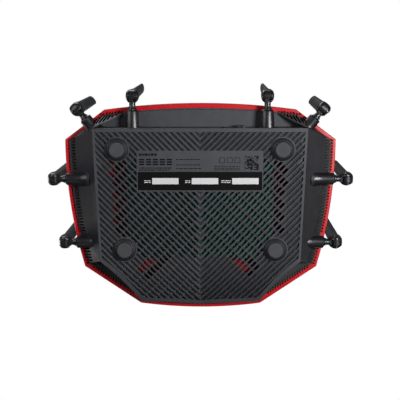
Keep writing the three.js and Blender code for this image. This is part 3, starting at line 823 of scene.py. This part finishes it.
def comb_places():
    """Place along Y, frame edge and inward direction of each comb slot on the right."""
    sleeves = [ANTENNAS[place]["at"][1] for place in ("side_rear", "side_front")]
    places = []
    for i in range(COMB_COUNT):
        y = COMB_REAR - i * COMB_PITCH
        rim = side_edge(y)
        if rim is None or any(abs(y - sleeve_y) < SLEEVE_CLEARANCE for sleeve_y in sleeves):
            continue
        slant = math.radians(10 + 8 * (y + 70) / 130)  # 10 degrees at the front, 18 at the rear
        places.append((y, rim, Vector((-math.cos(slant), math.sin(slant)))))
    return places


def comb_slot(bm, side, start, end, way, low, high):
    """An upright slot of the comb's width between two plan points given for the right."""
    half = Vector((way.y, -way.x)) * (COMB_WIDTH / 2)
    outline = [start - half, end - half, end + half, start + half]
    prism(bm, [(side * p.x, p.y) for p in outline], low, high)


def comb(bm):
    """Short slanted slots in the flanks and front corners, just under the red frame."""
    for side in SIDES.values():
        for y, rim, inward in comb_places():
            start = Vector((rim - SEAT_SIDE + COMB_OUTSIDE, y))
            end = start + inward * COMB_REACH
            comb_slot(bm, side, start, end, inward, COMB_LOW, seam(y) - FLANGE_LOW)
        for rim, inward in front_comb_places():
            end = rim + inward * FRONT_COMB_REACH
            comb_slot(bm, side, rim - inward, end, inward, COMB_LOW, seam(rim.y) - 0.4)


def side_edge(y):
    """How far out the frame's side edge is at a place along Y."""
    points = bowed(SIDE_REAR, SIDE_FRONT, SIDE_BOW, 24)
    for a, b in zip(points, points[1:]):
        if b.y <= y <= a.y:
            return b.x + (a.x - b.x) * (y - b.y) / (a.y - b.y)
    return None


def corner_slots(bm):
    """The slanted slots in the rear corners, between the port bay and the frame."""
    bay = (BASE_REAR - BAY_INNER).normalized()
    clear = Vector((-bay.y, bay.x))
    for side in SIDES.values():
        for start in CORNER_SLOTS:
            room = (start - BAY_INNER).dot(clear) - CORNER_WEB
            length = min(CORNER_LONGEST, room / abs(CORNER_WAY.dot(clear)))
            if length >= CORNER_SHORTEST:
                end = start + CORNER_WAY * length
                comb_slot(bm, side, start, end, CORNER_WAY, CORNER_LOW, seam(CORNER_Y) - FLANGE_LOW)


def flange(bm, outline, width):
    """A flat ring inside the rim, closing the comb slots from above."""
    outer = inset(outline, 0.2)
    inner = inset(outline, width)
    rings = []
    for points, drop in ((outer, 0.1), (inner, 0.1), (inner, FLANGE_LOW), (outer, FLANGE_LOW)):
        rings.append([bm.verts.new((p.x, p.y, seam(p.y) - drop)) for p in points])
    count = len(outer)
    for ring, after in zip(rings, rings[1:] + rings[:1]):
        for i in range(count):
            bm.faces.new((ring[i - 1], ring[i], after[i], after[i - 1]))


def bottom_cover():
    body = cut(carved(0), carved(WALL))
    join(body, new_body(flange, SEAT, FLANGE_WIDTH))
    join(body, new_body(every_antenna, sleeve))
    join(body, new_body(feet, collar))
    cut(body, new_body(every_antenna, bore))
    cut(body, new_body(feet, foot_bore))
    x = LABEL["half"] + GAP
    cut(body, new_body(block, (-x, LABEL["front"] - GAP, 0), (x, LABEL["rear"] + GAP, BASE_Z + LABEL_SEAT)))
    y = BASE_REAR.y
    cut(body, new_body(block, (-WINDOW_HALF, y - 6, WINDOW_LOW), (WINDOW_HALF, y + 3, WINDOW_HIGH)))
    region = new_body(field)
    cut(region, new_body(field_gaps))
    for make in (grooves, dashes, rib_lines, cross_lines):
        tool = boolean(new_body(make), "INTERSECT", region, keep_tool=True)
        cut(body, tool)
    remove(region)
    cut(body, new_body(comb))
    cut(body, new_body(corner_slots))
    tidy(body)
    return body


SLEEVE_FRAMES = [
    (place, ANTENNAS[place]["sleeve"], placement(place, side).inverted())
    for place in ANTENNAS
    for side in SIDES.values()
]


def on_sleeve(point):
    for place, length, matrix in SLEEVE_FRAMES:
        p = matrix @ point
        if not -length + 0.5 < p.x < 0.05:
            continue
        profile = sleeve_profile(place, length)
        for (x, radius), (x2, radius2) in zip(profile, profile[1:]):
            if x <= p.x <= x2 + 0.05:
                expected = radius + (radius2 - radius) * (p.x - x) / (x2 - x)
                distance = math.hypot(p.y, p.z)
                if abs(distance - expected) < 0.12 or (p.x > -0.05 and distance < radius + 0.1):
                    return True
    return False


def cover_finish_and_shade(mesh, face):
    """A face's place in the list of the cover's materials.

    0 is for the textured underside and the port bay's ceiling, 1 (painted shade, a darker copy of the
    cover plastic) for the flanks, collars, and groove and pocket floors on the left, 2 for the sleeves,
    and 3 (deeper painted shade, near-black) for the port bay's walls, next to the rim, the rear corners,
    and inside the other grooves and slots.
    """
    if all(on_sleeve(mesh.vertices[i].co) for i in face.vertices):
        return 2
    x, y, z = face.center
    if z > plate_z(y) + 2.4:
        # Above the plate: painted shade, near-black on the port bay's walls, next to the rim and in the rear
        # corners, and the darker copy of the cover plastic on the flanks.
        if y > BASE_REAR.y - WALL and abs(x) < BAY_INNER.x:
            return 0 if z > BAY_TOP - 0.2 else 3
        return 3 if z > seam(y) - FLANGE_LOW - 0.6 or y > BASE_REAR.y else 1
    if z > plate_z(y) + GROOVE_CHAMFER + 0.2 and abs(x) < BASE_SIDE.x and BASE_FRONT.y < y < BASE_REAR.y - 1:
        # Painted shade in groove and pocket floors: near-black on the right and in the through slots, the
        # darker copy of the cover plastic on the left.
        return 3 if x > 0 or open_slot(x, y) else 1
    # The collars get the darker copy of the cover plastic as painted shade.
    near_foot = any(math.hypot(abs(x) - f.x, y - f.y) < COLLAR_RADIUS + 1 for f in FEET.values())
    return 1 if near_foot and z < BASE_Z - 0.05 else 0


finished(
    bottom_cover(),
    "bottom_cover_moulding",
    [COVER, SHADED_COVER, SLEEVE, SHADE],
    "case",
    ["bottom_cover"],
    angle=25,
    choose=cover_finish_and_shade,
)

# -------- red frame

FRAME_LOW = SEAM_Z + GAP
# The frame's outer profile: distance inside the outline, and height above its underside.
FRAME_PROFILE = [(1.5, 0), (0.7, 0.25), (0.2, 0.9), (0, 2), (0.35, 4), (1.1, 6), (2.0, 7.5), (2.5, 8)]
NOTCH_DEPTH = 3.2
NOTCH_REACH = 1.5  # how far a notch shows outside the lower cover
NOTCH_HIDDEN = 1.2  # how far it goes on above the cover
DECK_OPENING = ((-52, -44), (52, 46))
SCREW_PASSAGE = 4.4


def frame_shell(bm):
    points = []
    for distance, height in FRAME_PROFILE:
        ring = inset(FRAME, distance)
        points += at(ring, lambda y, h=height: FRAME_LOW + h + SEAM_SLOPE * y)
    hull(bm, points)


def frame_notches(bm):
    """Where the slots of the lower cover run on into the underside of the red frame."""
    places = [(Vector((rim - SEAT_SIDE, y)), inward) for y, rim, inward in comb_places()]
    places += front_comb_places()
    edge = bowed(Vector((-REAR_CORNER.x, REAR_CORNER.y)), REAR_CORNER, REAR_Y - REAR_CORNER.y, 24)
    for start in CORNER_SLOTS:
        rim = min(edge, key=lambda p, x=start.x: abs(p.x - x)).y - SEAT_REAR
        places.append((start - CORNER_WAY * (start.y - rim) / CORNER_WAY.y, CORNER_WAY))
    for side in SIDES.values():
        for start, inward in places:
            outer, inner = start - inward * NOTCH_REACH, start + inward * NOTCH_HIDDEN
            low, high = seam(start.y) - 2, seam(start.y) + GAP + NOTCH_DEPTH
            comb_slot(bm, side, outer, inner, inward, low, high)


def mid_frame():
    body = new_body(frame_shell)
    deck = lambda y: FRAME_LOW + DECK + SEAM_SLOPE * y
    cut(body, new_body(prism, inset(FRAME, FRAME_WALL), deck, HIGH))
    low, high = DECK_OPENING
    cut(body, new_body(block, (*low, 0), (*high, HIGH)))
    passage = [(0, SCREW_PASSAGE), (HIGH, SCREW_PASSAGE)]
    cut(body, new_body(feet, lambda bm, x, y: lathe(bm, passage, upright(x, y), 40)))
    cut(body, new_body(frame_notches))
    tidy(body)
    return body


finished(mid_frame(), "mid_frame_rim", RED, "case", ["mid_frame"], angle=22)

# -------- feet, label and print


def foot_pad(bm):
    profile = [(0.25, 0.02), (0.05, 5.6), (0, 6.9), (0.15, 7.35), (0.6, PAD_RADIUS), (PAD_HEIGHT, PAD_RADIUS)]
    lathe(bm, [*profile, (PAD_HEIGHT, 0.02)], UPRIGHT, 72)


for end, foot in FEET.items():
    for side_name, side in SIDES.items():
        pad = new_body(foot_pad)
        pad.data.transform(Matrix.Translation((side * foot.x, foot.y, 0)))
        node = f"foot_pad_{end}_{side_name}"
        finished(pad, f"{node}_rubber", RUBBER, "case", [node])


def printed(bm, marks, low, high):
    """Thin printed rectangles, each given by two opposite corners."""
    for x, y, x2, y2 in marks:
        block(bm, (min(x, x2), min(y, y2), low), (max(x, x2), max(y, y2), high))


def word_line(rng, x, y, end, height=0.85):
    """A line of print as a row of blank word-like bars, from x down to end."""
    marks = []
    while x > end + 1:
        length = min(rng.uniform(1.4, 4.2), x - end)
        marks.append((x, y, x - length, y + height))
        x -= length + 0.7
    return marks


def outline_mark(x, y, size, line=0.5):
    """A square outline, as a stand-in for a symbol."""
    inner = size - line
    return [
        (x, y, x - size, y + line),
        (x, y + inner, x - size, y + size),
        (x, y + line, x - line, y + inner),
        (x - inner, y + line, x - size, y + inner),
    ]


def cover_print():
    rng = random.Random(7)
    marks = word_line(rng, 60.6, 46.4, 43, 2.2)
    for i in range(5):
        x = 60.6 - 6.9 * i
        marks += [(x, 37, x - 5.2, 38.5), (x, 39.4, x - 5.2, 40.9), (x, 41.8, x - 5.2, 43.3)]
    marks += word_line(rng, 60.6, 33.6, 28, 1.0)
    marks += word_line(rng, 60.6, 31.6, 30, 1.0)
    for y in (42.2, 36.8, 33.1):
        marks += word_line(rng, 23.6, y, -1.4)
    for i in range(3):
        marks += outline_mark(-19.4 - 7.6 * i, 39, 5.6)
    for y in (35.4, 33.6, 31.9):
        marks += word_line(rng, -14.4, y, -40.4, 0.7)
    cell = 14.2 / 13
    for row in range(13):
        for column in range(13):
            if rng.random() < 0.55:
                x, y = -44.4 - column * cell, 32 + row * cell
                marks.append((x, y, x - cell * 0.96, y + cell * 0.96))
    return marks


def label_print():
    rng = random.Random(11)
    marks = []
    for x, x2 in ((47.6, 21.3), (8.1, -18.4), (-32.2, -58.6)):
        marks.append((x, 17.8, x2, 24.0))
    for x, x2 in ((55.6, 49), (14.6, 9.7), (-21.4, -31.0)):
        marks += word_line(rng, x, 20.9, x2, 0.8)
        marks += word_line(rng, x, 19.2, x2, 0.8)
    return marks


PRINT_LOW = BASE_Z - 0.03
marks = new_body(printed, cover_print(), PRINT_LOW, BASE_Z + 0.05)
finished(marks, "cover_print", INK, "case")
film = new_body(block, (-LABEL["half"], LABEL["front"], BASE_Z), (LABEL["half"], LABEL["rear"], BASE_Z + 0.5))
finished(film, "rating_label_film", FILM, "case", ["rating_label"])
marks = new_body(printed, label_print(), PRINT_LOW, BASE_Z + 0.02)
finished(marks, "label_print", WHITE_INK, "case")

# -------- antennas

NOTCH_END = 2.5  # how far inboard of the hinge the disc is cut away for the neck


def stem(antenna):
    """A swivel stem: shaft in the sleeve, shoulder, neck and hinge disc, along +X."""
    sleeve_end = -antenna["sleeve"] - GAP
    reach = antenna["reach"]
    profile = [
        (sleeve_end - 1.4, 4.1),
        (sleeve_end - 1.1, 4.4),
        (sleeve_end, 4.4),
        (sleeve_end, SHAFT_RADIUS),
        (GAP, SHAFT_RADIUS),
        (GAP, SHOULDER_RADIUS),
        (GAP + 0.6, SHOULDER_RADIUS - 0.1),
        (1.9, NECK_RADIUS + 0.5),
        (3.4, NECK_RADIUS),
        (reach - NOTCH_END + 0.4, NECK_RADIUS),
    ]
    body = new_body(lathe, profile, sides=48)
    hinge = Matrix.Translation((reach, 0, 0)) @ ACROSS
    half, round_off = TONGUE_HALF, 0.3
    rim = TONGUE_RADIUS - round_off
    edge = [(-half, rim), (round_off - half, TONGUE_RADIUS), (half - round_off, TONGUE_RADIUS), (half, rim)]
    disc = new_body(lathe, edge, hinge)
    cut(disc, new_body(block, (reach - 20, -20, -20), (reach - NOTCH_END, 20, -NECK_RADIUS)))
    join(body, disc)
    cut(body, new_body(lathe, [(-20, PIN_RADIUS + GAP), (20, PIN_RADIUS + GAP)], hinge, 24))
    tidy(body)
    return body


def rounded_section(z, depth, inner_depth, thick, power, steps=56):
    """One level of the blade: a superellipse, slimmer towards the stem."""
    ring = []
    for i in range(steps):
        angle = 2 * math.pi * (i + 0.5) / steps
        c, s = math.cos(angle), math.sin(angle)
        bend = power if c > 0 else 2 + 0.15 * (power - 2)
        x = math.copysign(abs(c) ** (2 / bend), c) * (depth if c > 0 else inner_depth)
        y = math.copysign(abs(s) ** (2 / bend), s) * thick
        ring.append((x, y, z))
    return ring


def eased(t):
    t = min(1, max(0, t))
    return t * t * (3 - 2 * t)


def blade_shell(bm):
    """The blade from its rounded knuckle, through a waist, up to an oval tip."""
    radius, half = KNUCKLE_RADIUS, KNUCKLE_HALF
    fuller = 0.6  # how much deeper the knuckle is on the side towards the stem
    upper_depth, upper_inner, upper_thick = 6.2, 5.6, 4.2  # above the waist; upper_inner without fuller
    square, oval = 2.8, 2.1  # powers of the sections
    levels = []
    for i in range(13):
        angle = math.radians(-88 + 88 * i / 12)
        shrink = math.cos(angle)
        thick = half - 2.3 * (1 - shrink) ** 1.3
        levels.append((radius * math.sin(angle), radius * shrink, (radius + fuller) * shrink, thick, square))
    tip_depth, tip_thick = BLADE_TIP_DEPTH / 2, BLADE_TIP_THICK / 2
    for i in range(1, 22):
        z = 2 * i
        waist = eased((z - 5) / 30)
        depth = radius + (upper_depth - radius) * eased(z / 40)
        inner = radius + fuller + (upper_inner - radius) * eased(z / 30)
        levels.append((z, depth, inner, half + (upper_thick - half) * waist, square - 0.7 * waist))
    start, top = levels[-1][0], BLADE_LENGTH - 3
    for i in range(1, 9):
        t = i / 8
        depth = upper_depth + (tip_depth - upper_depth) * t
        thick = upper_thick + (tip_thick - upper_thick) * t
        levels.append((start + (top - start) * t, depth, depth, thick, oval))
    for i in range(1, 9):
        angle = math.radians(10.8 * i)
        shrink = 1 - math.cos(angle)
        depth = tip_depth - 3 * shrink
        levels.append((top + 3 * math.sin(angle), depth, depth, tip_thick - 2 * shrink, oval))
    rings = [[bm.verts.new(p) for p in rounded_section(*entry)] for entry in levels]
    for ring, after in zip(rings, rings[1:]):
        for i in range(len(ring)):
            bm.faces.new((ring[i - 1], ring[i], after[i], after[i - 1]))
    bm.faces.new(rings[0])
    bm.faces.new(rings[-1])


def blade():
    """A blade with its hinge at the origin, standing up along +Z."""
    body = new_body(blade_shell)
    slot = TONGUE_HALF + 0.25
    clear = TONGUE_RADIUS + GAP
    cut(body, new_body(lathe, [(-slot, clear), (slot, clear)], ACROSS))
    cut(body, new_body(block, (-20, -slot, -20), (0, slot, clear)))
    cut(body, new_body(block, (-20, -slot, -20), (20, slot, 0.01)))
    cut(body, new_body(lathe, [(-20, PIN_RADIUS + GAP), (20, PIN_RADIUS + GAP)], ACROSS, 24))
    tidy(body)
    return body


for place, antenna in ANTENNAS.items():
    for side_name, side in SIDES.items():
        matrix = placement(place, side)
        key = f"{place}_{side_name}"
        rod = stem(antenna)
        rod.data.transform(matrix)
        finished(rod, f"stem_{key}_moulding", ANTENNA, f"{key}_stem", [f"stem_{key}"])
        paddle = blade()
        paddle.data.transform(matrix @ Matrix.Translation((antenna["reach"], 0, 0)))
        finished(paddle, f"blade_{key}_moulding", ANTENNA, f"{key}_aerial", [f"blade_{key}"])

# -------- CAD nodes that stay

CARRIED = {
    "top_cover": (TOP, 0.6),
    "top_panel": (GLOSS, 0.25),
    "light_bar": (DIFFUSER, 0.25),
    "port_panel": (PORT, 0.2),
    "main_board": (BOARD, 0.1),
    "heat_sink": (ALUMINIUM, 0.15),
    "wan_jack": (BLUE, 0.2),
    "lan_jack_block": (YELLOW, 0.2),
    "power_jack": (SOCKET, 0.2),
    "power_button": (BUTTON, 0.1),
    "reset_button": (BUTTON, 0.1),
    "power_switch": (SOCKET, 0.2),
    "reset_switch": (SOCKET, 0.2),
}
for side_name in SIDES:
    CARRIED[f"shield_can_{side_name}"] = (TIN, 0.3)
    for end in FEET:
        CARRIED[f"case_screw_{end}_{side_name}"] = (STEEL, 0.1)
    for place in ANTENNAS:
        CARRIED[f"hinge_pin_{place}_{side_name}"] = (STEEL, 0.1)
        CARRIED[f"aerial_lead_{place}_{side_name}"] = (LEAD, 0)

for name, (material, width) in CARRIED.items():
    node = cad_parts[name]
    node.data.materials.clear()
    node.data.materials.append(material)
    if width:
        bevel(node, width * MM)

# -------- floor, light and camera


MIDDLE = (0, 0, 0.02)  # metres, like the floor's values
FLOOR_REACH = 3.0
FLOOR_STEPS = 8
FLOOR_FADE = (0.3, 1.0)


def floor():
    """A pale floor that fades to white and shows from above only."""
    bm = bmesh.new()
    bmesh.ops.create_grid(bm, x_segments=FLOOR_STEPS, y_segments=FLOOR_STEPS, size=FLOOR_REACH)
    mesh = bpy.data.meshes.new("floor")
    bm.to_mesh(mesh)
    bm.free()
    obj = bpy.data.objects.new("floor", mesh)
    bpy.context.scene.collection.objects.link(obj)
    obj.visible_shadow = False
    obj.visible_diffuse = False
    obj.visible_glossy = False
    obj.visible_transmission = False
    n = Nodes("floor_paper")
    tone = n.mix(n.spread(n.noise(3, 3), 0, 1), linear(226, 226, 227), linear(232, 232, 232))
    n.link(tone, n.shader.inputs["Base Color"])
    n.set(Roughness=0.9)
    clear = n.add("ShaderNodeBsdfTransparent")
    away = n.add("ShaderNodeVectorMath", operation="LENGTH")
    n.link(n.add("ShaderNodeNewGeometry").outputs["Position"], away.inputs[0])
    fade = n.add("ShaderNodeMapRange", interpolation_type="SMOOTHSTEP")
    fade.inputs["From Min"].default_value, fade.inputs["From Max"].default_value = FLOOR_FADE
    n.link(away.outputs["Value"], fade.inputs["Value"])
    glow = n.add("ShaderNodeEmission")
    faded = n.add("ShaderNodeMixShader")
    n.link(fade.outputs["Result"], faded.inputs[0])
    n.link(n.shader.outputs["BSDF"], faded.inputs[1])
    n.link(glow.outputs["Emission"], faded.inputs[2])
    chosen = n.add("ShaderNodeMixShader")
    n.link(n.add("ShaderNodeNewGeometry").outputs["Backfacing"], chosen.inputs[0])
    n.link(faded.outputs["Shader"], chosen.inputs[1])
    n.link(clear.outputs["BSDF"], chosen.inputs[2])
    n.link(chosen.outputs["Shader"], n.tree.nodes["Material Output"].inputs["Surface"])
    mesh.materials.append(n.material)


def softbox(name, position, size, power):
    """A white area light turned to the middle of the router."""
    light = bpy.data.lights.new(name, "AREA")
    light.shape = "RECTANGLE"
    light.size, light.size_y = size
    light.energy = power
    obj = bpy.data.objects.new(name, light)
    obj.location = position
    obj.rotation_mode = "QUATERNION"
    obj.rotation_quaternion = (Vector(MIDDLE) - Vector(position)).to_track_quat("-Z", "Y")
    obj.visible_camera = False
    bpy.context.scene.collection.objects.link(obj)


def backdrop():
    """White behind everything, and a dimmer even light from all round."""
    world = bpy.data.worlds.new("studio")
    world.use_nodes = True
    tree = world.node_tree
    tree.nodes.clear()
    output = tree.nodes.new("ShaderNodeOutputWorld")
    seen = tree.nodes.new("ShaderNodeBackground")
    lit = tree.nodes.new("ShaderNodeBackground")
    pick = tree.nodes.new("ShaderNodeMixShader")
    seen.inputs["Color"].default_value = (1, 1, 1, 1)
    lit.inputs["Color"].default_value = (0.9, 0.93, 1, 1)
    lit.inputs["Strength"].default_value = 0.08
    path = tree.nodes.new("ShaderNodeLightPath")
    tree.links.new(path.outputs["Is Camera Ray"], pick.inputs[0])
    tree.links.new(lit.outputs[0], pick.inputs[1])
    tree.links.new(seen.outputs[0], pick.inputs[2])
    tree.links.new(pick.outputs[0], output.inputs[0])
    bpy.context.scene.world = world


VIEW_DISTANCE = 1200  # millimetres, as VIEW_TARGET
VIEW_TILT = math.radians(8.3)
VIEW_YAW = math.radians(1)
VIEW_TARGET = Vector((-0.1, 1.9, 6))
LENS = 108


def camera():
    """Under the router, looking up, with the rear at the top of the frame."""
    forward = Vector((0, -math.sin(VIEW_TILT), math.cos(VIEW_TILT))) * math.cos(VIEW_YAW)
    forward.x = math.sin(VIEW_YAW)
    up = Vector((0, math.cos(VIEW_TILT), math.sin(VIEW_TILT)))
    right = forward.cross(up)
    data = bpy.data.cameras.new("camera")
    data.lens = LENS
    data.sensor_width = 36
    data.clip_start = 0.01
    data.clip_end = 50
    obj = bpy.data.objects.new("camera", data)
    turn = Matrix((right, up, -forward)).transposed().to_4x4()
    obj.matrix_world = Matrix.Translation((VIEW_TARGET - forward * VIEW_DISTANCE) * MM) @ turn
    bpy.context.scene.collection.objects.link(obj)
    bpy.context.scene.camera = obj


floor()
backdrop()
camera()
bpy.context.scene.view_settings.view_transform = "Standard"
softbox("key_below", (-0.58, 0.17, -0.7), (0.26, 0.26), 11.5)
softbox("fill_below", (0.7, 0.36, -0.42), (0.4, 0.6), 3.2)
softbox("front_below", (0.1, -1.1, -1.1), (0.9, 0.5), 1.0)
softbox("key_above", (-0.9, -1.1, 1.5), (0.9, 0.9), 34)
softbox("fill_above", (1.3, -0.4, 1.0), (0.7, 1.0), 14)
softbox("rear_above", (0.5, 1.4, 1.1), (1.1, 0.7), 18)
